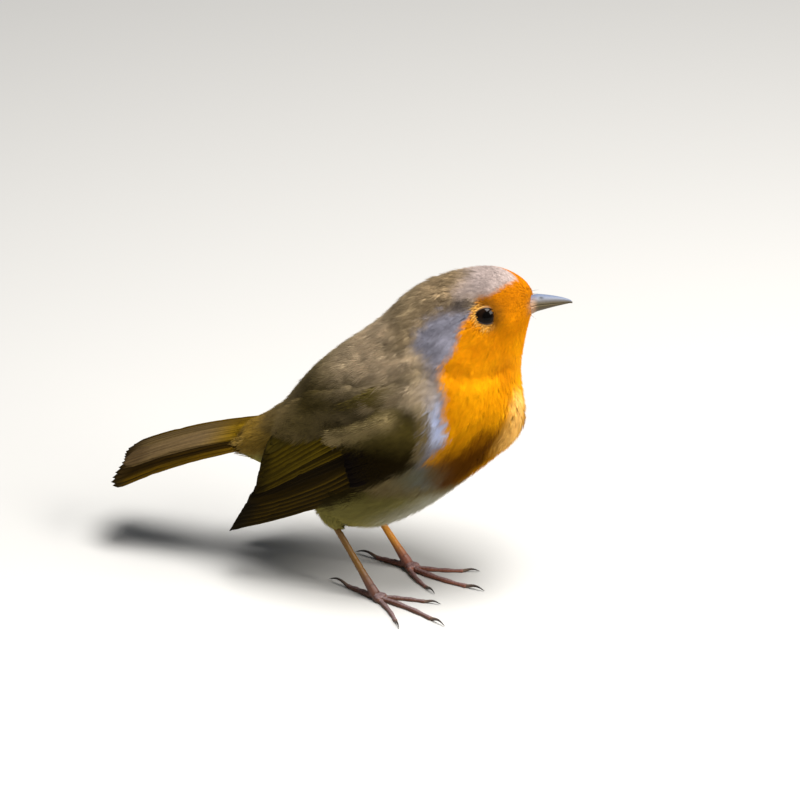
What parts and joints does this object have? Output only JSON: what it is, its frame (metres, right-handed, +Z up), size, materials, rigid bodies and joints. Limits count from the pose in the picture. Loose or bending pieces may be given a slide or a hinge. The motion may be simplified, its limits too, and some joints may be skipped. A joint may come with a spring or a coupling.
{
  "type": "european robin, still life-size model",
  "caption": "Life-size still model of a robin standing upright on both feet, orange face and breast, brown back, folded wings, closed bill, head turned slightly to its left.",
  "frame": {"origin": "on the floor, under the middle of the bird's own box", "axes": "+X ahead of the bird, from tail to bill; +Y to the bird's left; +Z up"},
  "size_m": [0.1148, 0.0476, 0.0853],
  "materials": {
    "brown_plumage": "soft matt feathers, olive brown",
    "orange_plumage": "soft matt feathers, orange",
    "pale_plumage": "soft loose feathers, buff white",
    "flight_feathers": "smooth vanes with a faint satin sheen, dark olive brown",
    "leg_scales": "satin, scaled skin, reddish brown",
    "claw_horn": "satin horn",
    "bill_horn": "satin to glossy dark horn",
    "eye": "wet gloss, near black"
  },
  "bodies": {
    "root": {"back": "brown_plumage", "belly": "pale_plumage", "bill_lower": "bill_horn", "bill_upper": "bill_horn", "breast": "orange_plumage", "claw_left_hind": "claw_horn", "claw_left_inner": "claw_horn", "claw_left_middle": "claw_horn", "claw_left_outer": "claw_horn", "claw_right_hind": "claw_horn", "claw_right_inner": "claw_horn", "claw_right_middle": "claw_horn", "claw_right_outer": "claw_horn", "eye_left": "eye", "eye_right": "eye", "head": "brown_plumage", "neck": "brown_plumage", "rump": "brown_plumage", "tail": "flight_feathers", "tarsus_left": "leg_scales", "tarsus_right": "leg_scales", "thigh_left": "pale_plumage", "thigh_right": "pale_plumage", "toe_left_hind": "leg_scales", "toe_left_inner": "leg_scales", "toe_left_middle": "leg_scales", "toe_left_outer": "leg_scales", "toe_right_hind": "leg_scales", "toe_right_inner": "leg_scales", "toe_right_middle": "leg_scales", "toe_right_outer": "leg_scales", "wing_left_coverts": "flight_feathers", "wing_left_primaries": "flight_feathers", "wing_left_secondaries": "flight_feathers", "wing_right_coverts": "flight_feathers", "wing_right_primaries": "flight_feathers", "wing_right_secondaries": "flight_feathers"}
  },
  "joints": []
}
